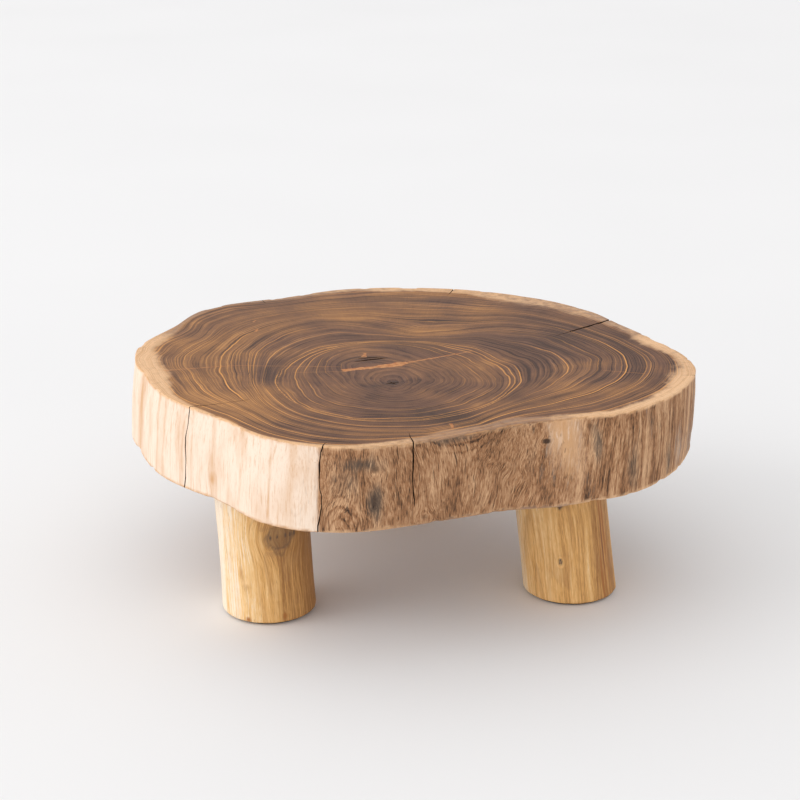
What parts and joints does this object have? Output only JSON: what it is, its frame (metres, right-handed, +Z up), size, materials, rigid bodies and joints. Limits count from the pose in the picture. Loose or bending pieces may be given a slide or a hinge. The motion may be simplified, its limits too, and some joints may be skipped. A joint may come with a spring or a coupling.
{
  "type": "cake stand",
  "caption": "Live-edge hardwood log slice on stubby peeled-branch legs: a low rustic stand that holds a cake or a display.",
  "frame": {"origin": "on the surface the stand rests on, under the middle of its outline", "axes": "+Z up, +X to the right along the slab's longest extent, -Y towards the front with its hollow between the legs"},
  "size_m": [0.3036, 0.286, 0.117],
  "materials": {
    "slab_wood": "sanded and oiled end grain on both faces, weathered long grain and pale sapwood round the side",
    "leg_wood": "peeled and sanded branch wood under a thin satin oil",
    "dowel_wood": "raw fluted beech",
    "pad_rubber": "matt"
  },
  "bodies": {
    "root": {"slab": "slab_wood", "leg_front_left": "leg_wood", "leg_front_right": "leg_wood", "leg_back": "leg_wood", "dowel_front_left": "dowel_wood", "dowel_front_right": "dowel_wood", "dowel_back": "dowel_wood", "foot_pad_front_left": "pad_rubber", "foot_pad_front_right": "pad_rubber", "foot_pad_back": "pad_rubber"}
  },
  "joints": []
}
